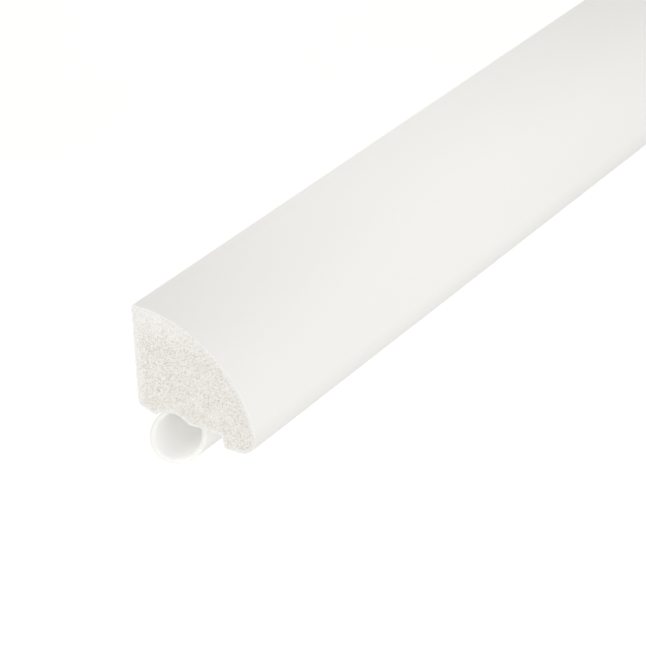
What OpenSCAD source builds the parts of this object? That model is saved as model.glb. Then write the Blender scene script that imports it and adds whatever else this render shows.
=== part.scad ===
// Stick-on door sweep: a rounded cellular PVC moulding with a hollow soft PVC seal under it.
// +X runs along the bar, -Y is the rounded weather side, +Z is up.
// The origin is the middle of the taped face that lies against the door.
// Sections are drawn flat: x is the distance in front of the door, y is the height.

/* [Moulding] */
// Length of the moulding
bar_len = 914; // [300:1:1200]
// Height of the top face above the middle of the tape
top_z = 9.75; // [8:0.05:12]
// Radius of the rounded front
front_r = 24.7; // [23:0.1:28]
// Distance of the front's centre line from the back
front_centre_y = 0.9; // [0:0.1:2]
// Distance of the front's centre line below the top
front_centre_drop = 24.6; // [23.5:0.1:26]
// Distance of the underside below the top
under_drop = 21.1; // [20.5:0.1:22]
// Radius of the nose where the front turns under
nose_r = 3.5; // [2.5:0.1:4]
// Thickness of the solid skin over the foam
skin_t = 0.5; // [0.4:0.1:1.2]

/* [Drip lip] */
// Distance of the lip's lower face below the top
lip_drop = 23.75; // [22.5:0.05:24]
// Distance from the back to the root of the lip
lip_root_y = 17.8; // [16:0.1:19]
// How far the lip's inner side leans forward from root to toe
lip_lean = 0.55; // [0:0.05:1]
// Rounding of the lip's inner lower edge
lip_toe_r = 0.6; // [0.2:0.1:1]

/* [Back edge] */
// Rounding of the top back edge
top_edge_r = 0.5; // [0.2:0.1:1]
// Height of the bevel at the foot of the back
bevel_h = 1.35; // [0.8:0.05:2.5]
// Depth of the bevel along the underside
bevel_d = 3.5; // [2:0.1:4]
// Rounding of the bevel's upper edge
bevel_r = 0.8; // [0.2:0.1:1]

/* [Seal] */
// Outer diameter of the hollow seal
seal_d = 10.0; // [8:0.1:11]
// Wall thickness of the seal
seal_wall = 1.0; // [0.7:0.1:1.5]
// Distance of the seal's centre line from the back
seal_y = 7.25; // [6.5:0.05:8]
// Distance of the seal's centre line below the top
seal_drop = 25.0; // [24.5:0.1:26]
// Angle that the seal's ends are cut off square
seal_slant = 25.6; // [0:0.1:30]
// Which side of the seal is cut back most, turned from its top towards the front
seal_slant_turn = 45; // [0:5:90]
// Distance from the moulding's end to the seal's end, on its centre line
seal_recess = 1.4; // [0:0.1:4]

/* [Seal bond] */
// Thickness of the adhesive between seal and moulding
bond_t = 0.25; // [0.15:0.05:0.6]
// Half of the angle that the adhesive spans over the seal
bond_half_angle = 34; // [20:1:38]
// Distance from the moulding's end to the adhesive's end
bond_recess = 5; // [4:0.5:20]
// Gap between the adhesive and the seal
bond_gap = 0.02; // [0.01:0.01:0.05]

/* [Adhesive tape] */
// Width of the foam tape on the back
tape_w = 15; // [9:0.5:17]
// Thickness of the foam tape
tape_t = 0.8; // [0.5:0.1:1.6]
// Thickness of the liner over the tape
liner_t = 0.12; // [0.08:0.01:0.2]
// Distance from the moulding's ends to the tape's ends
tape_recess = 3; // [2:0.5:10]

/* [Hidden] */
$fn = 96;

back_x = tape_t + liner_t;
front_c = [back_x + front_centre_y, top_z - front_centre_drop];
under_z = top_z - under_drop;
lip_z = top_z - lip_drop;
nose_z = lip_z + nose_r;
nose_reach = sqrt(pow(front_r - nose_r, 2) - pow(nose_z - front_c.y, 2));
nose_c = [front_c.x + nose_reach, nose_z];
nose_dir = (nose_c - front_c) / norm(nose_c - front_c);
lip_root = [back_x + lip_root_y, under_z];
lip_toe = lip_root + [lip_lean, under_drop - lip_drop];
lip_side = (lip_root - lip_toe) / norm(lip_root - lip_toe);
bevel_top = [back_x, under_z + bevel_h];
bevel_foot = [back_x + bevel_d, under_z];
bevel_dir = (bevel_foot - bevel_top) / norm(bevel_foot - bevel_top);
bevel_in = [-bevel_dir.y, bevel_dir.x];
seal_c = [back_x + seal_y, top_z - seal_drop];
seal_r = seal_d / 2;
seat_r = seal_r + bond_gap + bond_t;
tape_len = bar_len - 2 * tape_recess;
reach = 2 * front_r;

UP = [0, 1];
DOWN = [0, -1];
FORWARD = [1, 0];

// Extrudes a flat section along the bar, centred on the origin.
module along_bar(length) {
    rotate([90, 0, -90]) linear_extrude(length, center = true) children();
}

// The sliver that rounding takes off a corner between edges that leave it in directions a and b.
module corner_waste(corner, a, b, r) {
    half = acos(a * b) / 2;
    centre = corner + (a + b) / norm(a + b) * r / sin(half);
    run = r / tan(half);
    difference() {
        polygon([corner, corner + run * a, centre, corner + run * b]);
        translate(centre) circle(r);
    }
}

// The part of the section behind the rounded front, down to where the nose takes over.
module front_sector(inset) {
    intersection() {
        translate(front_c) circle(front_r - inset);
        polygon([front_c, front_c + reach * nose_dir, [reach, reach], [-reach, reach], [-reach, front_c.y]]);
        translate([back_x + inset, under_z + inset]) square([reach, top_z - under_z - 2 * inset]);
    }
}

// The drip lip and the nose in front of it.
module lip_and_nose(inset) {
    translate(nose_c) circle(nose_r - inset);
    polygon([
        [lip_root.x + inset, nose_c.y + inset],
        [lip_root.x + inset, lip_root.y],
        [lip_toe.x + inset, lip_toe.y + inset],
        [nose_c.x, lip_toe.y + inset],
        [nose_c.x, nose_c.y + inset]
    ]);
}

// Everything behind the bevel at the foot of the back.
module bevel_waste(inset) {
    line = bevel_top + inset * bevel_in;
    polygon([
        line - reach * bevel_dir,
        line + reach * bevel_dir,
        line + reach * bevel_dir - reach * bevel_in,
        line - reach * bevel_dir - reach * bevel_in
    ]);
}

// The moulding's section, set in from its surface by inset, before its edges are rounded.
module sharp_section(inset) {
    difference() {
        front_sector(inset);
        bevel_waste(inset);
    }
    lip_and_nose(inset);
}

// The seat in the underside for the seal, grown by extra.
module seat(extra) {
    translate(seal_c) circle(seat_r + extra);
}

// Cellular PVC inside the moulding, bare at both cut ends.
module foam_core() {
    color("ivory") along_bar(bar_len) difference() {
        sharp_section(skin_t);
        seat(skin_t);
    }
}

// Dense PVC skin round the foam, with the edges rounded.
module outer_skin() {
    color("white") along_bar(bar_len) difference() {
        sharp_section(0);
        corner_waste([back_x, top_z], FORWARD, DOWN, top_edge_r);
        corner_waste(bevel_top, UP, bevel_dir, bevel_r);
        corner_waste(lip_toe, FORWARD, lip_side, lip_toe_r);
        seat(0);
        difference() {
            sharp_section(skin_t);
            seat(skin_t);
        }
    }
}

// Takes off everything past the seal's slanted end at the -X end of the bar.
module seal_end_waste() {
    block = 4 * seal_d;
    translate([seal_recess - bar_len / 2, -seal_c.x, seal_c.y])
        rotate([seal_slant_turn, 0, 0])
            rotate([0, seal_slant, 0])
                translate([-block, -block / 2, -block / 2]) cube(block);
}

// Soft hollow seal that closes the gap to the floor.
module seal_tube() {
    color("snow") difference() {
        along_bar(bar_len + 2 * seal_d) translate(seal_c) difference() {
            circle(seal_r);
            circle(seal_r - seal_wall);
        }
        seal_end_waste();
        mirror([1, 0, 0]) seal_end_waste();
    }
}

// Thin bed of adhesive that holds the seal in its seat.
module seal_bond() {
    spread = reach * tan(bond_half_angle);
    color("gainsboro") along_bar(bar_len - 2 * bond_recess) translate(seal_c) intersection() {
        difference() {
            circle(seat_r);
            circle(seal_r + bond_gap);
        }
        polygon([[0, 0], [spread, reach], [-spread, reach]]);
    }
}

// Double-sided foam tape along the flat back, a little short of both ends.
module adhesive_tape() {
    color("whitesmoke") along_bar(tape_len) translate([liner_t, -tape_w / 2]) square([tape_t, tape_w]);
}

// Paper liner that peels off the tape.
module release_liner() {
    color("lemonchiffon") along_bar(tape_len) translate([0, -tape_w / 2]) square([liner_t, tape_w]);
}

foam_core();
outer_skin();
seal_tube();
seal_bond();
adhesive_tape();
release_liner();
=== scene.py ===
import math
import random

import bmesh
import bpy
import numpy as np
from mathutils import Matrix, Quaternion, Vector, kdtree, noise
from mathutils.geometry import delaunay_2d_cdt


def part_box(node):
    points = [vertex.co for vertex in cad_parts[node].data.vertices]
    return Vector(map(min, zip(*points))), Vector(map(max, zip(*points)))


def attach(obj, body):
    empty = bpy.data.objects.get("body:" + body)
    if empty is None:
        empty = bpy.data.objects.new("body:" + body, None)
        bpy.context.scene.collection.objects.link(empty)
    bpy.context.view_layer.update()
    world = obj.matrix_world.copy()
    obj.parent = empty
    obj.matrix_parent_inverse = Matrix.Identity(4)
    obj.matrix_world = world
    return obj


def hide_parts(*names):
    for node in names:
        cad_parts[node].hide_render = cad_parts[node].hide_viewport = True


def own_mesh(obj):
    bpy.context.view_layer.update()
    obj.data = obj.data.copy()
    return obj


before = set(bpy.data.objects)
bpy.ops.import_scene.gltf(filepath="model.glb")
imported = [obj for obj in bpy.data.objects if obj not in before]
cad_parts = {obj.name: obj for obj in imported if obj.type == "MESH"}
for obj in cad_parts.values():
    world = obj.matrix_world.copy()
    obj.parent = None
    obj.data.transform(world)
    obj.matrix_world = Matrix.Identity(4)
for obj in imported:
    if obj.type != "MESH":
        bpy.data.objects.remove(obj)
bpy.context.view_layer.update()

# Stick-on door sweep. +X runs along the bar, -Y is the weather side, +Z is up, in metres.
# Sections are drawn in millimetres as (distance in front of the taped face, height), and placed by place().
MM = 0.001

# ---------------------------------------------------------------- sizes from the frame

skin_low, skin_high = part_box("outer_skin")
core_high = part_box("foam_core")[1]
tube_low, tube_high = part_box("seal_tube")
bond_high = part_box("seal_bond")[1]
tape_low, tape_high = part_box("adhesive_tape")
liner_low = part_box("release_liner")[0]

HALF_LENGTH = skin_high.x / MM
BACK = -skin_high.y / MM
TOP = skin_high.z / MM
SKIN_T = (skin_high.z - core_high.z) / MM
LIP_Z = skin_low.z / MM
TUBE_R = (tube_high.z - tube_low.z) / MM / 2
TUBE_C = (-(tube_low.y + tube_high.y) / MM / 2, (tube_low.z + tube_high.z) / MM / 2)
BOND_HALF_LENGTH = bond_high.x / MM
SEAT_R = bond_high.z / MM - TUBE_C[1]
TAPE_HALF_LENGTH = tape_high.x / MM
TAPE_HALF_W = tape_high.z / MM
TAPE_BACK = -tape_high.y / MM
TAPE_FRONT = -tape_low.y / MM
LINER_T = -liner_low.y / MM

# ---------------------------------------------------------------- sizes of the section

FRONT_R = 24.7
FRONT_C = (BACK + 0.9, TOP - 24.6)
UNDER_Z = TOP - 21.1
NOSE_R = 3.5
LIP_ROOT = (BACK + 17.8, UNDER_Z)
LIP_TOE = (LIP_ROOT[0] + 0.55, LIP_Z)
LIP_TOE_R = 0.6
TOP_EDGE_R = 0.5
BEVEL_TOP = (BACK, UNDER_Z + 1.35)
BEVEL_FOOT = (BACK + 3.5, UNDER_Z)
BEVEL_R = 0.8
TUBE_WALL = 1.0
TUBE_SLANT = math.radians(25.6)
TUBE_RECESS = 1.4

SIDES = (-1, 1)


# ---------------------------------------------------------------- flat geometry

def unit(v):
    """A vector made one long."""
    return v / np.linalg.norm(v)


def arc(centre, radius, start, end, step=1.5):
    """Points along an arc between two angles in degrees."""
    count = max(2, int(abs(end - start) / step) + 1)
    angles = np.radians(np.linspace(start, end, count))
    return [(centre[0] + radius * math.cos(a), centre[1] + radius * math.sin(a)) for a in angles]


def corner(before, at, after, radius):
    """The corner at a point of an outline, rounded, or the bare corner where there is no radius left."""
    if radius <= 0:
        return [at]
    before, at, after = (np.array(p, float) for p in (before, at, after))
    a, b = unit(before - at), unit(after - at)
    half = math.acos(float(a @ b)) / 2
    centre = at + unit(a + b) * radius / math.sin(half)
    start, end = (at + d * radius / math.tan(half) - centre for d in (a, b))
    first = math.degrees(math.atan2(start[1], start[0]))
    turn = math.degrees(math.atan2(start[0] * end[1] - start[1] * end[0], float(start @ end)))
    return arc(centre, radius, first, first + turn, step=12)


def section(inset):
    """The moulding's outline, set in from its surface, clockwise from the top back corner."""
    radius = FRONT_R - inset
    nose_r = NOSE_R - inset
    nose_z = LIP_Z + NOSE_R
    nose_reach = math.sqrt((FRONT_R - NOSE_R) ** 2 - (nose_z - FRONT_C[1]) ** 2)
    nose_c = (FRONT_C[0] + nose_reach, nose_z)
    join = math.degrees(math.atan2(nose_z - FRONT_C[1], nose_reach))
    top = TOP - inset
    start = math.degrees(math.asin((top - FRONT_C[1]) / radius))

    bevel_dir = unit(np.subtract(BEVEL_FOOT, BEVEL_TOP))
    bevel_in = np.array([-bevel_dir[1], bevel_dir[0]])
    line = np.array(BEVEL_TOP) + inset * bevel_in
    slope = bevel_dir[1] / bevel_dir[0]
    back = BACK + inset
    bevel_top = (back, line[1] + (back - line[0]) * slope)

    seat_r = SEAT_R + inset
    under = UNDER_Z + inset
    foot = (back + (under - bevel_top[1]) / slope, under)
    seat_half = math.sqrt(seat_r ** 2 - (under - TUBE_C[1]) ** 2)
    seat_start = math.degrees(math.atan2(under - TUBE_C[1], seat_half))
    if foot[0] < TUBE_C[0] - seat_half:
        seat_end = 180 - seat_start
        rim = [foot]
    else:
        to_line = float((np.array(TUBE_C) - line) @ bevel_in)
        along = float((np.array(TUBE_C) - line) @ bevel_dir) - math.sqrt(seat_r ** 2 - to_line ** 2)
        meet = line + along * bevel_dir
        seat_end = math.degrees(math.atan2(meet[1] - TUBE_C[1], meet[0] - TUBE_C[0]))
        rim = []

    root = (LIP_ROOT[0] + inset, under)
    toe = (LIP_TOE[0] + inset, LIP_Z + inset)
    return (
        corner((back, 0), (back, top), (back + TOP, top), TOP_EDGE_R - inset)
        + arc(FRONT_C, radius, start, join)
        + arc(nose_c, nose_r, join, -90, step=6)[1:]
        + corner((nose_c[0], toe[1]), toe, root, LIP_TOE_R - inset)
        + [root]
        + arc(TUBE_C, seat_r, seat_start, seat_end, step=4)
        + rim
        + corner(foot, bevel_top, (back, 0), BEVEL_R - inset)
    )


def resample(outline, spacing):
    """A closed outline with its long edges split, so that no edge is longer than the spacing."""
    points = []
    for a, b in zip(outline, outline[1:] + outline[:1]):
        count = max(1, math.ceil(math.dist(a, b) / spacing))
        for i in range(count):
            t = i / count
            points.append((a[0] + (b[0] - a[0]) * t, a[1] + (b[1] - a[1]) * t))
    return np.array(points)


def shrink(points, amount):
    """A closed clockwise outline moved inwards a little, along the normal at each of its points."""
    edge = np.roll(points, -1, axis=0) - points
    edge /= np.linalg.norm(edge, axis=1)[:, None]
    inward = np.stack([edge[:, 1], -edge[:, 0]], axis=1)
    normal = inward + np.roll(inward, 1, axis=0)
    normal /= np.linalg.norm(normal, axis=1)[:, None]
    return points + amount * normal


def inside(points, outline):
    """Which of the points lie inside a closed outline."""
    found = np.zeros(len(points), bool)
    for a, b in zip(outline, np.roll(outline, -1, axis=0)):
        crosses = (a[1] > points[:, 1]) != (b[1] > points[:, 1])
        if a[1] != b[1]:
            x = a[0] + (points[:, 1] - a[1]) * (b[0] - a[0]) / (b[1] - a[1])
            found ^= crosses & (points[:, 0] < x)
    return found


def tree_of(points):
    """A search tree over flat points."""
    tree = kdtree.KDTree(len(points))
    for i, p in enumerate(points):
        tree.insert((p[0], p[1], 0), i)
    tree.balance()
    return tree


def clearance(points, tree):
    """Distance from each point to the nearest one in a tree."""
    return np.array([tree.find((p[0], p[1], 0))[2] for p in points])


# ---------------------------------------------------------------- meshes

def place(x, depth, height):
    """A point of the shared frame, in metres, from millimetres along the bar, forwards and up."""
    return (x * MM, -depth * MM, height * MM)


def make_piece(name, verts, faces, material, body, replaces, sharp=35):
    """A mesh piece that rides on a body and stands for a CAD node."""
    mesh = bpy.data.meshes.new(name)
    mesh.from_pydata(verts, [], faces)
    tidy = bmesh.new()
    tidy.from_mesh(mesh)
    bmesh.ops.recalc_face_normals(tidy, faces=tidy.faces)
    tidy.to_mesh(mesh)
    tidy.free()
    mesh.polygons.foreach_set("use_smooth", [True] * len(mesh.polygons))
    mesh.set_sharp_from_angle(angle=math.radians(sharp))
    mesh.materials.append(material)
    piece = bpy.data.objects.new(name, mesh)
    bpy.context.scene.collection.objects.link(piece)
    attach(piece, body)
    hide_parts(replaces)
    return piece


def store(piece, name, values):
    """Stores a number on each vertex of a piece, for its material to read."""
    piece.data.attributes.new(name, "FLOAT", "POINT").data.foreach_set("value", values)


def strip(loop_a, loop_b):
    """Quads between two closed loops with the same number of vertices."""
    n = len(loop_a)
    return [(loop_a[i], loop_a[(i + 1) % n], loop_b[(i + 1) % n], loop_b[i]) for i in range(n)]


def loops_mesh(rings):
    """Vertices and quads of a tube whose cross-sections are the given rings of placed points."""
    verts = [p for ring in rings for p in ring]
    n = len(rings[0])
    loops = [list(range(i * n, (i + 1) * n)) for i in range(len(rings))]
    faces = [q for a, b in zip(loops, loops[1:]) for q in strip(a, b)]
    return verts, faces, loops


def stations(half, ends, step):
    """Distances along the bar: some close to each end, and even steps between."""
    inner = half - ends[-1]
    count = max(2, round(2 * inner / step))
    middle = [-inner + 2 * inner * i / count for i in range(1, count)]
    return [-half + e for e in ends] + middle + [half - e for e in reversed(ends)]


# ---------------------------------------------------------------- materials

class Shader:
    """A material with a Principled shader, and short calls that add nodes to it."""

    def __init__(self, name, **sockets):
        self.material = bpy.data.materials.new(name)
        self.material.use_nodes = True
        self.nodes = self.material.node_tree.nodes
        self.links = self.material.node_tree.links
        self.bsdf = self.nodes["Principled BSDF"]
        self.bsdf.inputs["Subsurface Radius"].default_value = (1.0, 0.96, 0.9)
        for key, value in sockets.items():
            self.bsdf.inputs[key.replace("_", " ")].default_value = value
        self.position = self.add("ShaderNodeTexCoord").outputs["Object"]

    def add(self, kind, **settings):
        node = self.nodes.new(kind)
        for key, value in settings.items():
            setattr(node, key, value)
        return node

    def stretched(self, scale):
        """The object's own coordinates, stretched."""
        node = self.add("ShaderNodeMapping")
        node.inputs["Scale"].default_value = scale
        self.links.new(self.position, node.inputs["Vector"])
        return node.outputs["Vector"]

    def noise(self, scale, detail=3.0, rough=0.55, stretch=(1, 1, 1)):
        """Noise over the surface: scale is in features per metre."""
        node = self.add("ShaderNodeTexNoise")
        node.inputs["Scale"].default_value = scale
        node.inputs["Detail"].default_value = detail
        node.inputs["Roughness"].default_value = rough
        self.links.new(self.stretched(stretch), node.inputs["Vector"])
        return node.outputs["Fac"]

    def cells(self, scale):
        """Distances in a cell pattern over the surface."""
        node = self.add("ShaderNodeTexVoronoi")
        node.inputs["Scale"].default_value = scale
        self.links.new(self.position, node.inputs["Vector"])
        return node.outputs["Distance"]

    def attribute(self, name):
        """A number that store() left on the piece's vertices."""
        return self.add("ShaderNodeAttribute", attribute_name=name).outputs["Fac"]

    def ramp(self, value, *stops):
        """Maps a value through (position, colour) stops."""
        node = self.add("ShaderNodeValToRGB")
        elements = node.color_ramp.elements
        while len(elements) < len(stops):
            elements.new(0.5)
        for element, (position, colour) in zip(elements, stops):
            element.position = position
            element.color = (*colour, 1)
        self.links.new(value, node.inputs["Fac"])
        return node.outputs["Color"]

    def span(self, value, low, high):
        """Maps a value from 0..1 to low..high."""
        node = self.add("ShaderNodeMapRange")
        node.inputs["To Min"].default_value = low
        node.inputs["To Max"].default_value = high
        self.links.new(value, node.inputs["Value"])
        return node.outputs["Result"]

    def mix(self, factor, a, b, blend="MIX"):
        """Mixes two colours, with a factor that is a number or another node's output."""
        node = self.add("ShaderNodeMix", data_type="RGBA", blend_type=blend)
        if isinstance(factor, float):
            node.inputs["Factor"].default_value = factor
        else:
            self.links.new(factor, node.inputs["Factor"])
        self.links.new(a, node.inputs["A"])
        self.links.new(b, node.inputs["B"])
        return node.outputs["Result"]

    def colour(self, output):
        self.links.new(output, self.bsdf.inputs["Base Color"])

    def rough(self, output):
        self.links.new(output, self.bsdf.inputs["Roughness"])

    def bumps(self, *layers):
        """Stacks bumps on the surface: each layer is (height, distance in metres, strength)."""
        normal = None
        for height, distance, strength in layers:
            node = self.add("ShaderNodeBump")
            node.inputs["Distance"].default_value = distance
            node.inputs["Strength"].default_value = strength
            self.links.new(height, node.inputs["Height"])
            if normal is not None:
                self.links.new(normal, node.inputs["Normal"])
            normal = node.outputs["Normal"]
        self.links.new(normal, self.bsdf.inputs["Normal"])


def pvc_skin():
    """Smooth extruded PVC: faint cloudy tone, painted shade as a slightly darker tone along the rounded
    lower front edge where it turns under, very fine die lines, soft satin.
    """
    s = Shader("pvc_skin", Subsurface_Weight=0.12, Subsurface_Scale=0.0015, Specular_IOR_Level=0.3)
    cloud = s.noise(9, detail=2, stretch=(1, 3, 3))
    tone = s.ramp(cloud, (0.3, (0.882, 0.876, 0.855)), (0.7, (0.902, 0.897, 0.880)))
    # Painted shade: a slightly darker tone along the rounded lower front edge, where the surface turns
    # under.
    nose = s.ramp(s.attribute("nose"), (0.0, (1, 1, 1)), (1.0, (0.958, 0.958, 0.955)))
    s.colour(s.mix(1.0, tone, nose, blend="MULTIPLY"))
    s.rough(s.span(s.noise(60, stretch=(0.15, 1, 1)), 0.46, 0.58))
    s.bumps(
        (s.noise(1400, detail=2, stretch=(0.004, 1, 1)), 0.00002, 0.35),
        (s.noise(900, detail=3), 0.00002, 0.25),
    )
    return s.material


def cellular_pvc():
    """Cut face of foamed PVC: open cells, with painted shade that makes them a little darker and warmer down
    in the pits.
    """
    s = Shader("cellular_pvc", Subsurface_Weight=0.1, Subsurface_Scale=0.0006, Roughness=0.85)
    # Painted shade: the deeper a pit, the darker and warmer its colour.
    tone = s.ramp(s.attribute("pit_shade"), (0.0, (0.932, 0.930, 0.918)), (1.0, (0.78, 0.766, 0.738)))
    dense = s.ramp(s.attribute("openness"), (0.0, (0.985, 0.986, 0.99)), (1.0, (0.963, 0.954, 0.938)))
    speck = s.ramp(s.noise(3400, detail=2), (0.38, (0.90, 0.892, 0.882)), (0.62, (1, 1, 1)))
    s.colour(s.mix(1.0, s.mix(1.0, tone, dense, blend="MULTIPLY"), speck, blend="MULTIPLY"))
    s.rough(s.span(s.noise(4000, detail=2), 0.78, 0.95))
    s.bumps((s.noise(7000, detail=3), 0.00004, 0.5))
    return s.material


def soft_pvc():
    """Soft PVC of the seal: milky, slightly glossy. Light soaks through the wall to the inside, and the
    inside is also painted lighter and warmer than the outside.
    """
    s = Shader("soft_pvc", Subsurface_Scale=0.014, Specular_IOR_Level=0.35)
    inner = s.attribute("inner")
    s.links.new(s.span(inner, 0.25, 1.0), s.bsdf.inputs["Subsurface Weight"])
    # Painted light and shade: the same PVC is coloured lighter and warmer on the inside of the wall and
    # darker on the outside.
    tone = s.ramp(inner, (0.0, (0.845, 0.839, 0.818)), (1.0, (0.980, 0.957, 0.880)))
    cloud = s.ramp(s.noise(40, detail=2, stretch=(0.4, 1, 1)), (0.3, (0.985, 0.985, 0.98)), (0.7, (1, 1, 1)))
    s.colour(s.mix(1.0, tone, cloud, blend="MULTIPLY"))
    s.rough(s.span(s.noise(200, stretch=(0.1, 1, 1)), 0.32, 0.44))
    s.bumps(
        (s.noise(1800, detail=2, stretch=(0.006, 1, 1)), 0.00002, 0.3),
        (s.noise(500, detail=2), 0.00003, 0.2),
    )
    return s.material


def clear_adhesive():
    """Cured adhesive: glassy, uneven, slightly yellow."""
    s = Shader("clear_adhesive", Subsurface_Weight=0.5, Subsurface_Scale=0.001, IOR=1.48)
    cloud = s.noise(300, detail=3)
    s.colour(s.ramp(cloud, (0.3, (0.80, 0.78, 0.70)), (0.7, (0.86, 0.84, 0.78))))
    s.rough(s.span(s.noise(500), 0.12, 0.3))
    s.bumps((s.noise(900, detail=2), 0.0001, 0.5))
    return s.material


def foam_tape():
    """Closed-cell foam tape: fine cells with a tacky film over them."""
    s = Shader("foam_tape", Coat_Weight=0.35, Coat_Roughness=0.25)
    cells = s.cells(2600)
    grain = s.ramp(cells, (0.0, (0.80, 0.80, 0.79)), (0.6, (0.89, 0.89, 0.88)))
    cloud = s.ramp(s.noise(50, detail=2), (0.3, (0.96, 0.96, 0.95)), (0.7, (1, 1, 1)))
    s.colour(s.mix(1.0, grain, cloud, blend="MULTIPLY"))
    s.rough(s.span(s.noise(900), 0.55, 0.75))
    s.bumps((cells, 0.00008, 0.5), (s.noise(120, detail=2), 0.0002, 0.2))
    return s.material


def liner_paper():
    """Silicone coated paper: pale yellow, fine fibres, a faint waxy sheen."""
    s = Shader("liner_paper", IOR=1.45)
    fibre = s.noise(3200, detail=4, stretch=(0.35, 1, 1))
    tone = s.ramp(fibre, (0.25, (0.83, 0.77, 0.56)), (0.75, (0.88, 0.83, 0.64)))
    cloud = s.ramp(s.noise(70, detail=3), (0.3, (0.965, 0.96, 0.94)), (0.7, (1, 1, 1)))
    s.colour(s.mix(1.0, tone, cloud, blend="MULTIPLY"))
    s.rough(s.span(s.noise(160, stretch=(0.5, 1, 1)), 0.38, 0.52))
    s.bumps((fibre, 0.00002, 0.3), (s.noise(90, detail=2), 0.0003, 0.25))
    return s.material


def pale_floor():
    """Plain white studio floor, lit up from inside enough to lose its shadows."""
    s = Shader("pale_floor", Roughness=0.9)
    s.colour(s.ramp(s.noise(3, detail=2), (0.3, (0.92, 0.92, 0.92)), (0.7, (0.94, 0.94, 0.94))))
    s.bsdf.inputs["Emission Color"].default_value = (1, 1, 1, 1)
    s.bsdf.inputs["Emission Strength"].default_value = 0.32
    return s.material


# ---------------------------------------------------------------- the cut ends

# The flat net: the spacing of its vertices, and their wobble and clearance from its edges as shares of it.
FACE_STEP = 0.105
FACE_WOBBLE = 0.3
FACE_CLEAR = 0.6

# The outline: the spacing of its vertices, and how much of the sharp edge is broken.
EDGE_STEP = 0.2
EDGE_BREAK = 0.06

# The open cells: their size, and their scatter, walls and the finer cells' size as shares of it.
CELL_SIZE = 0.32
CELL_SCATTER = 0.42
CELL_WALL = 0.55
FINE_CELLS = 0.6

# The least and most depth of both sizes of cell, and how rare the deep ones are.
COARSE_DEPTHS = (0.02, 0.22)
FINE_DEPTHS = (0.0, 0.10)
DEEP_CELLS_RARITY = 1.6

# The grain and the saw marks: their depths, and how fast they vary per millimetre.
GRAIN_DEPTH = 0.02
GRAIN_RATE = 3
SAW_DEPTH = 0.012
SAW_RATE = (0.35, 5.5)

# The depth at which the painted shade in the material's pits is darkest.
DEEPEST = 0.26

# How far the denser foam reaches in from the rim, the back and the top, and how deep its cells still are.
DENSE_RIM = 0.9
DENSE_BACK = 2.0
DENSE_TOP = 7.0
DENSE_DEPTH = 0.25


def cell_depths(points, size, rng, low, high):
    """Depth of open foam cells at each point, in millimetres: deep in a cell, shallow on its walls."""
    spread = size * CELL_SCATTER
    lo, hi = points.min(0) - size, points.max(0) + size
    centres, depths = [], []
    for x in np.arange(lo[0], hi[0], size):
        for z in np.arange(lo[1], hi[1], size):
            centres.append((x + rng.uniform(-spread, spread), z + rng.uniform(-spread, spread)))
            depths.append(low + (high - low) * rng.random() ** DEEP_CELLS_RARITY)
    tree = tree_of(centres)
    result = np.zeros(len(points))
    for i, p in enumerate(points):
        (_, nearest, d1), (_, _, d2) = tree.find_n((p[0], p[1], 0), 2)
        bowl = min(1.0, (d2 - d1) / (size * CELL_WALL))
        result[i] = depths[nearest] * bowl * (2 - bowl)
    return result


def openness(points, to_edge):
    """How open the foam's cells are, 0 to 1: the foam is denser close to its edges, back and top."""
    rim = to_edge / DENSE_RIM
    back = (points[:, 0] - BACK) / DENSE_BACK
    top = (TOP - points[:, 1]) / DENSE_TOP
    return np.clip(np.minimum(rim, np.minimum(back, top)), 0, 1)


def cut_end(seed):
    """One sawn end of the moulding as a flat triangle net, with how far each vertex lies under the cut."""
    rng = random.Random(seed)
    outer_edge = resample(section(0), EDGE_STEP)
    outer = shrink(outer_edge, EDGE_BREAK)
    inner = resample(section(SKIN_T), EDGE_STEP)

    low, high = outer.min(0), outer.max(0)
    wobble = FACE_STEP * FACE_WOBBLE
    grid = np.array([
        (x + rng.uniform(-wobble, wobble), z + rng.uniform(-wobble, wobble))
        for x in np.arange(low[0], high[0], FACE_STEP)
        for z in np.arange(low[1], high[1], FACE_STEP)
    ])
    grid = grid[inside(grid, outer)]
    edges = tree_of(np.concatenate([outer, inner]))
    grid = grid[clearance(grid, edges) > FACE_STEP * FACE_CLEAR]

    points = np.concatenate([outer, inner, grid])
    n_outer, n_inner = len(outer), len(inner)
    inner_ids = list(range(n_outer, n_outer + n_inner))
    inner_edges = list(zip(inner_ids, inner_ids[1:] + inner_ids[:1]))
    found = delaunay_2d_cdt(
        [Vector(p) for p in points], inner_edges, [list(range(n_outer))], 1, 1e-6)
    net = np.array([tuple(v) for v in found[0]])
    place_of = {i: k for k, sources in enumerate(found[3]) for i in sources}
    triangles = np.array([tuple(t) for t in found[2]])
    in_core = inside(net[triangles].mean(axis=1), inner)

    opened = openness(net, clearance(net, tree_of(outer)))
    coarse = cell_depths(net, CELL_SIZE, rng, *COARSE_DEPTHS)
    fine = cell_depths(net, CELL_SIZE * FINE_CELLS, rng, *FINE_DEPTHS)
    grain = np.array([noise.noise(Vector((p[0] * GRAIN_RATE, p[1] * GRAIN_RATE, seed))) for p in net])
    saw = np.array([noise.noise(Vector((p[0] * SAW_RATE[0], p[1] * SAW_RATE[1], seed))) for p in net])
    depth = (DENSE_DEPTH + (1 - DENSE_DEPTH) * opened) * (coarse + fine)
    depth = depth + GRAIN_DEPTH * (1 + grain) + SAW_DEPTH * (1 + saw)
    return {
        "net": net,
        "depth": depth,
        "openness": opened,
        "core": triangles[in_core],
        "skin": triangles[~in_core],
        "outer_edge": outer_edge,
        "outer": [place_of[i] for i in range(n_outer)],
        "inner": [place_of[i] for i in inner_ids],
    }


ENDS = {side: cut_end(seed=7 + side) for side in SIDES}


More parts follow.
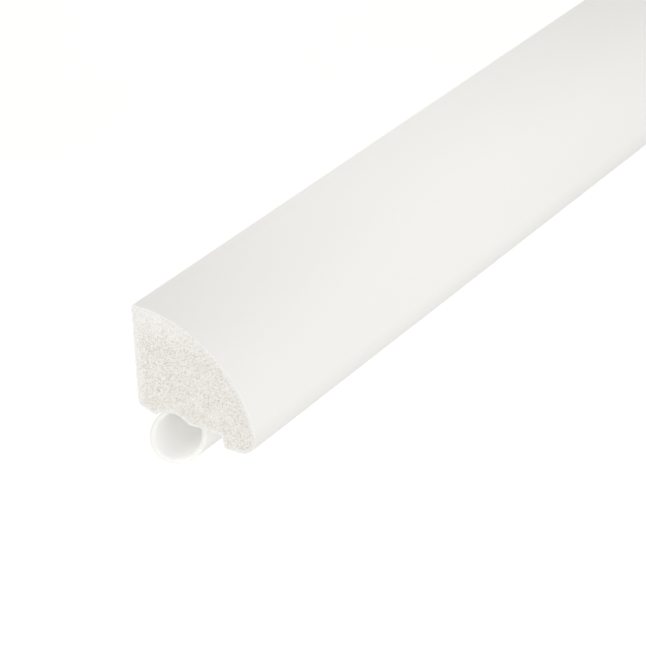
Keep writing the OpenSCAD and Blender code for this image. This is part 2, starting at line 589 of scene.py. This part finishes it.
def end_verts(side):
    """The cut end's vertices, in place."""
    end = ENDS[side]
    return [place(side * (HALF_LENGTH - d), p[0], p[1]) for p, d in zip(end["net"], end["depth"])]


# ---------------------------------------------------------------- pieces of the moulding

def used(verts, faces):
    """Drops the vertices that no face uses. Returns the vertices, the faces and the old indices kept."""
    keep = sorted({i for f in faces for i in f})
    new = {old: i for i, old in enumerate(keep)}
    return [verts[i] for i in keep], [tuple(new[i] for i in f) for f in faces], keep


def mark_pit_shade_and_openness(piece, kept):
    """Stores on each vertex how deep the cut left it, which the material turns into painted shade in the
    pits, and how open the foam is there.
    """
    pits = np.concatenate([ENDS[side]["depth"] for side in SIDES]) / DEEPEST
    opened = np.concatenate([ENDS[side]["openness"] for side in SIDES])
    for name, values in (("pit_shade", pits), ("openness", opened)):
        padded = np.zeros(max(len(values), kept[-1] + 1))
        padded[:len(values)] = np.clip(values, 0, 1)
        store(piece, name, padded[kept])


def foam_core(foam):
    """The foam: both sawn ends and the side between them, which the skin hides."""
    near, far = ENDS[-1], ENDS[1]
    shift = len(near["net"])
    faces = [tuple(t) for t in near["core"]]
    faces += [tuple(i + shift for i in t) for t in far["core"]]
    faces += strip(near["inner"], [i + shift for i in far["inner"]])
    verts, faces, kept = used(end_verts(-1) + end_verts(1), faces)
    piece = make_piece("foam_core_visual", verts, faces, foam, "moulding", "foam_core")
    mark_pit_shade_and_openness(piece, kept)


# Stations along the bar: some close to each end, and even steps between.
END_STATIONS = (EDGE_BREAK, 0.5, 1.5, 4.0)
STATION_STEP = 8.0

# The front sinks a little: how far from the back it starts and grows, how deep it is, and where it stops.
SINK_START = 3
SINK_GROWTH = 4
SINK_DEPTH = 0.03
SINK_ABOVE_LIP = 0.5

# The painted shade, a slightly darker tone, along the rounded lower front edge where it turns under: its top
# above the lip's lower face, and how far it takes to grow.
NOSE_SHADE_TOP = 5.4
NOSE_SHADE_FADE = 1.6


def outer_skin(foam):
    """The skin: a ring at each sawn end, the outside of the bar and the face against the foam."""
    near, far = ENDS[-1], ENDS[1]
    outline = near["outer_edge"]
    slack = shrink(outline, 1.0) - outline
    front = np.clip((outline[:, 0] - BACK - SINK_START) / SINK_GROWTH, 0, 1)
    front = front * (outline[:, 1] > LIP_Z + SINK_ABOVE_LIP)
    verts = end_verts(-1) + end_verts(1)
    shift = len(near["net"])
    faces = [tuple(t) for t in near["skin"]]
    faces += [tuple(i + shift for i in t) for t in far["skin"]]
    sawn = len(faces)
    loops = [near["outer"]]
    for x in stations(HALF_LENGTH, END_STATIONS, STATION_STEP):
        sink = [
            SINK_DEPTH * f * (1 + noise.noise(Vector((x * 0.02, p[0] * 0.12, p[1] * 0.12))))
            for p, f in zip(outline, front)
        ]
        loops.append(list(range(len(verts), len(verts) + len(outline))))
        verts += [place(x, *(p + s * d)) for p, s, d in zip(outline, slack, sink)]
    loops.append([i + shift for i in far["outer"]])
    for a, b in zip(loops, loops[1:]):
        faces += strip(a, b)
    faces += strip(near["inner"], [i + shift for i in far["inner"]])
    verts, faces, kept = used(verts, faces)
    piece = make_piece("outer_skin_visual", verts, faces, pvc_skin(), "moulding", "outer_skin")
    piece.data.materials.append(foam)
    for face in piece.data.polygons[:sawn]:
        face.material_index = 1
    mark_pit_shade_and_openness(piece, kept)
    # Painted shade along the rounded lower front edge: the share of its darker tone at each vertex of the
    # bar's outside, none on the sawn ends.
    on_nose = np.clip((LIP_Z + NOSE_SHADE_TOP - outline[:, 1]) / NOSE_SHADE_FADE, 0, 1) * (outline[:, 0] > LIP_TOE[0])
    nose_shade_all = np.concatenate([np.zeros(shift + len(far["net"])), np.tile(on_nose, len(loops) - 2)])
    store(piece, "nose", nose_shade_all[kept])


# ---------------------------------------------------------------- the seal

# The rounding of the rims, as (distance in from the wall's face, distance back from the end).
RIM_ROUND = ((0.0, 0.16), (0.05, 0.05), (0.16, 0.0))

TUBE_SPOKES = 120
TUBE_STATIONS = 116

# The unevenness of the hanging part: how far above the middle it starts, how much, and how fast it varies.
DROOP_START = 2
DROOP = 0.07
DROOP_RATE = 0.018

# The adhesive: half the angle it spans, its gap to the seal, and its wavy edges in degrees.
BOND_HALF_ANGLE = 34
BOND_GAP = 0.02
BOND_SLACK = 0.01
BOND_WAVE = 1.5
BOND_RINGS = 226


def tube_end(side, depth, height):
    """Where the slanted cut at one end of the seal crosses a line along the bar."""
    slope = math.tan(TUBE_SLANT) / math.sqrt(2)
    back = TUBE_RECESS + slope * ((depth - TUBE_C[0]) + (height - TUBE_C[1]))
    return side * (HALF_LENGTH - back)


def tube_ring(radius, share, set_back=0.0):
    """One ring of the seal: share runs from 0 at the -X end to 1 at the +X end."""
    ring = []
    for k in range(TUBE_SPOKES):
        angle = 2 * math.pi * k / TUBE_SPOKES
        c, s = math.cos(angle), math.sin(angle)
        depth, height = TUBE_C[0] + radius * c, TUBE_C[1] + radius * s
        low, high = tube_end(-1, depth, height) + set_back, tube_end(1, depth, height) - set_back
        x = low + (high - low) * share
        hang = np.clip((TUBE_C[1] + DROOP_START - height) / TUBE_R, 0, 1)
        drift = DROOP * hang * noise.noise(Vector((x * DROOP_RATE, c, s)))
        ring.append(place(x, depth + drift * c, height - abs(drift) * s))
    return ring


def seal_tube():
    """The hollow seal: outside, rounded rim, inside and the other rim, as one closed skin."""
    inner_r = TUBE_R - TUBE_WALL
    shares = [i / (TUBE_STATIONS - 1) for i in range(TUBE_STATIONS)]
    rings = [tube_ring(TUBE_R, t, RIM_ROUND[0][1]) for t in shares]
    rim = [(TUBE_R - r, b) for r, b in RIM_ROUND[1:]]
    rim += [(TUBE_R - TUBE_WALL / 2, 0.0)]
    rim += [(inner_r + r, b) for r, b in reversed(RIM_ROUND[1:])]
    rings += [tube_ring(r, 1.0, b) for r, b in rim]
    rings += [tube_ring(inner_r, t, RIM_ROUND[0][1]) for t in reversed(shares)]
    rings += [tube_ring(r, 0.0, b) for r, b in reversed(rim)]
    verts, faces, loops = loops_mesh(rings)
    faces += strip(loops[-1], loops[0])
    piece = make_piece(
        "seal_tube_visual", verts, faces, soft_pvc(), "seal", "seal_tube", sharp=60)
    rim_radii = [r for r, _ in rim]
    radii = [TUBE_R] * TUBE_STATIONS + rim_radii + [inner_r] * TUBE_STATIONS + rim_radii[::-1]
    # The share of the way through the wall, from the outside to the inside: the material reads it for its
    # subsurface weight and for the painted light inside and painted shade outside.
    share = (TUBE_R - np.repeat(radii, TUBE_SPOKES)) / TUBE_WALL
    store(piece, "inner", share)
    return piece


def seal_bond():
    """The adhesive bed: a thin saddle over the seal with squeezed-out, wavy edges."""
    rings = []
    inner_r, outer_r = TUBE_R + BOND_GAP, SEAT_R - BOND_SLACK
    for i in range(BOND_RINGS):
        t = i / (BOND_RINGS - 1)
        x = -BOND_HALF_LENGTH + 2 * BOND_HALF_LENGTH * t
        wave_l, wave_r = (BOND_WAVE * noise.noise(Vector((x * 0.25, line, 0))) for line in (1.7, 9.1))
        left = 90 + BOND_HALF_ANGLE - BOND_WAVE + wave_l
        right = 90 - BOND_HALF_ANGLE + BOND_WAVE - wave_r
        ring = arc(TUBE_C, outer_r, right, left, step=5)
        ring += arc(TUBE_C, inner_r, left, right, step=5)
        rings.append([place(x, *p) for p in ring])
    verts, faces, loops = loops_mesh(rings)
    for loop in (loops[0], loops[-1]):
        half = len(loop) // 2
        faces += [(loop[i], loop[i + 1], loop[-2 - i], loop[-1 - i]) for i in range(half - 1)]
    make_piece("seal_bond_visual", verts, faces, clear_adhesive(), "moulding", "seal_bond")


# ---------------------------------------------------------------- tape and liner

# The softening of a strip's edges, also as the most of its thickness, and the columns across its width.
STRIP_EDGE = 0.12
STRIP_EDGE_SHARE = 0.3
STRIP_COLUMNS = 25


def flat_strip(back, front, half_w, half_length, step, lift, name, material, body, node):
    """A thin flat strip down the back of the bar, with soft edges and a slightly uneven back."""
    soft = min(STRIP_EDGE, (front - back) * STRIP_EDGE_SHARE)
    across = np.linspace(-half_w + soft, half_w - soft, STRIP_COLUMNS)
    rings = []
    for x in stations(half_length, (0.0, soft, 1.0), step):
        trim = soft if abs(abs(x) - half_length) < soft / 2 else 0.0
        ring = [(front - trim, z) for z in across]
        ring += [(front - soft, half_w - trim), (back + soft, half_w - trim)]
        ring += [
            (back + trim + lift * (1 + noise.noise(Vector((x * 0.06, z * 0.3, half_w)))), z)
            for z in reversed(across)
        ]
        ring += [(back + soft, -half_w + trim), (front - soft, -half_w + trim)]
        rings.append([place(x, *p) for p in ring])
    verts, faces, loops = loops_mesh(rings)
    n = len(across)
    for loop in (loops[0], loops[-1]):
        faces += [(loop[i], loop[i + 1], loop[2 * n - i], loop[2 * n + 1 - i]) for i in range(n - 1)]
        faces += [(loop[n - 1], loop[n], loop[n + 1], loop[n + 2])]
        faces += [(loop[2 * n + 1], loop[2 * n + 2], loop[2 * n + 3], loop[0])]
    make_piece(name, verts, faces, material, body, node)


def adhesive_tape():
    """The foam tape on the moulding's back."""
    flat_strip(TAPE_BACK, TAPE_FRONT, TAPE_HALF_W, TAPE_HALF_LENGTH, STATION_STEP, 0.02,
               "adhesive_tape_visual", foam_tape(), "moulding", "adhesive_tape")


def release_liner():
    """The paper over the tape."""
    flat_strip(0.0, LINER_T, TAPE_HALF_W, TAPE_HALF_LENGTH, 3.0, 0.01,
               "release_liner_visual", liner_paper(), "liner", "release_liner")


# ---------------------------------------------------------------- stage, light and camera

FLOOR_DROP = 0.30
FLOOR_SIZE = 9.0
FLOOR_CELLS = 12
LIGHT_ABOVE = 0.745
LIGHT_BELOW = 0.56
HORIZON_BLEND = 0.4
CAMERA_FROM_CORNER = Vector((-0.34203, -0.27283, 0.22331))
CAMERA_AZIMUTH = math.radians(-55.784)
CAMERA_ELEVATION = math.radians(27.642)
CAMERA_ROLL = math.radians(-2.338)
CAMERA_LENS = 156.95


def floor():
    """A plain pale floor, well below the bar, which hangs on a door. It doesn't light the bar."""
    z = skin_low.z - FLOOR_DROP
    half = FLOOR_SIZE / 2
    row = FLOOR_CELLS + 1
    ticks = [-half + FLOOR_SIZE * i / FLOOR_CELLS for i in range(row)]
    verts = [(x, y, z) for y in ticks for x in ticks]
    faces = [
        (j * row + i, j * row + i + 1, (j + 1) * row + i + 1, (j + 1) * row + i)
        for j in range(FLOOR_CELLS) for i in range(FLOOR_CELLS)
    ]
    mesh = bpy.data.meshes.new("floor")
    mesh.from_pydata(verts, [], faces)
    mesh.materials.append(pale_floor())
    plane = bpy.data.objects.new("floor", mesh)
    bpy.context.scene.collection.objects.link(plane)
    plane.visible_diffuse = False
    plane.visible_glossy = False
    plane.visible_shadow = False


def soft_box(name, direction, distance, size, power):
    """A square area light that looks at the middle of the near part of the bar."""
    aim = Vector((skin_low.x + 0.085, (skin_low.y + skin_high.y) / 2, 0))
    data = bpy.data.lights.new(name, "AREA")
    data.size = size
    data.energy = power
    lamp = bpy.data.objects.new(name, data)
    lamp.location = aim + Vector(direction).normalized() * distance
    lamp.rotation_mode = "QUATERNION"
    lamp.rotation_quaternion = (aim - lamp.location).to_track_quat("-Z", "Y")
    lamp.visible_camera = False
    bpy.context.scene.collection.objects.link(lamp)


def surroundings():
    """White surroundings with their own level above and below the horizon."""
    world = bpy.data.worlds.new("studio")
    world.use_nodes = True
    nodes, links = world.node_tree.nodes, world.node_tree.links
    background = nodes["Background"]
    background.inputs["Color"].default_value = (1.0, 0.99, 0.965, 1)
    split = nodes.new("ShaderNodeSeparateXYZ")
    links.new(nodes.new("ShaderNodeTexCoord").outputs["Generated"], split.inputs["Vector"])
    height = nodes.new("ShaderNodeMapRange")
    height.inputs["From Min"].default_value = -HORIZON_BLEND
    height.inputs["From Max"].default_value = HORIZON_BLEND
    height.inputs["To Min"].default_value = LIGHT_BELOW
    height.inputs["To Max"].default_value = LIGHT_ABOVE
    links.new(split.outputs["Z"], height.inputs["Value"])
    links.new(height.outputs["Result"], background.inputs["Strength"])
    bpy.context.scene.world = world


def studio():
    """Even surroundings, large soft boxes in front and off the near end, and small ones above and below."""
    surroundings()
    bpy.context.scene.view_settings.view_transform = "Standard"
    soft_box("front_box", (-0.2, -1.0, -0.3), 0.8, 0.5, 2.45)
    soft_box("end_box", (-1.0, 0.0, 0.0), 0.6, 0.4, 1.08)
    soft_box("top_box", (0.0, 0.0, 1.0), 0.12, 0.10, 0.035)
    soft_box("low_box", (-0.3, 0.4, -1.0), 0.28, 0.20, 0.18)


def camera():
    """The camera, placed from the near top corner of the moulding's back."""
    data = bpy.data.cameras.new("camera")
    data.sensor_width = 36
    data.lens = CAMERA_LENS
    data.clip_start = 0.01
    data.clip_end = 50
    cam = bpy.data.objects.new("camera", data)
    cos_e = math.cos(CAMERA_ELEVATION)
    back = Vector((
        math.sin(CAMERA_AZIMUTH) * cos_e,
        -math.cos(CAMERA_AZIMUTH) * cos_e,
        math.sin(CAMERA_ELEVATION),
    ))
    cam.location = Vector((skin_low.x, skin_high.y, skin_high.z)) + CAMERA_FROM_CORNER
    cam.rotation_mode = "QUATERNION"
    cam.rotation_quaternion = (-back).to_track_quat("-Z", "Y") @ Quaternion((0, 0, 1), CAMERA_ROLL)
    bpy.context.scene.collection.objects.link(cam)
    bpy.context.scene.camera = cam


camera()
studio()
floor()
foam = cellular_pvc()
foam_core(foam)
outer_skin(foam)
tube = seal_tube()
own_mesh(tube)
seal_bond()
adhesive_tape()
release_liner()
